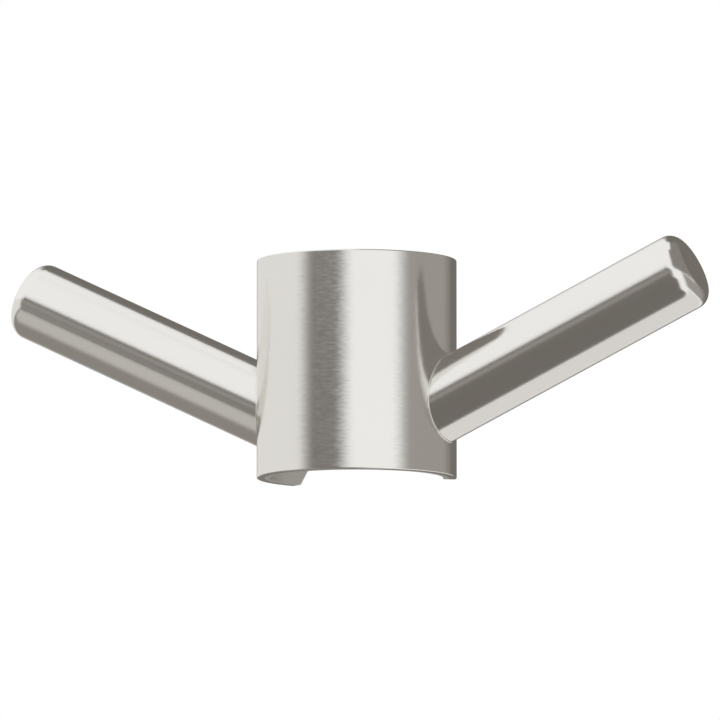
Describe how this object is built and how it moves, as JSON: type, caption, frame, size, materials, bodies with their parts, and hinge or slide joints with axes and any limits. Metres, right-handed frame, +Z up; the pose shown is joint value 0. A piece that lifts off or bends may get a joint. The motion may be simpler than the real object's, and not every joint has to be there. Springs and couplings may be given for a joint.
{
  "type": "rail hook",
  "caption": "Hook for a vertical rail: an open-backed sleeve with a round peg rising outwards on each side, for towels and robes.",
  "frame": {"origin": "on the sleeve's axis, in the plane of its bottom rim", "axes": "+Z up along the rail, +X towards the right peg, +Y towards the wall, out of the sleeve's open back"},
  "size_m": [0.1408, 0.0297, 0.0435],
  "materials": {
    "satin_metal": "satin, warm nickel tone, with a very fine grain"
  },
  "bodies": {
    "root": {"rail_sleeve": "satin_metal", "left_peg": "satin_metal", "right_peg": "satin_metal"}
  },
  "joints": []
}
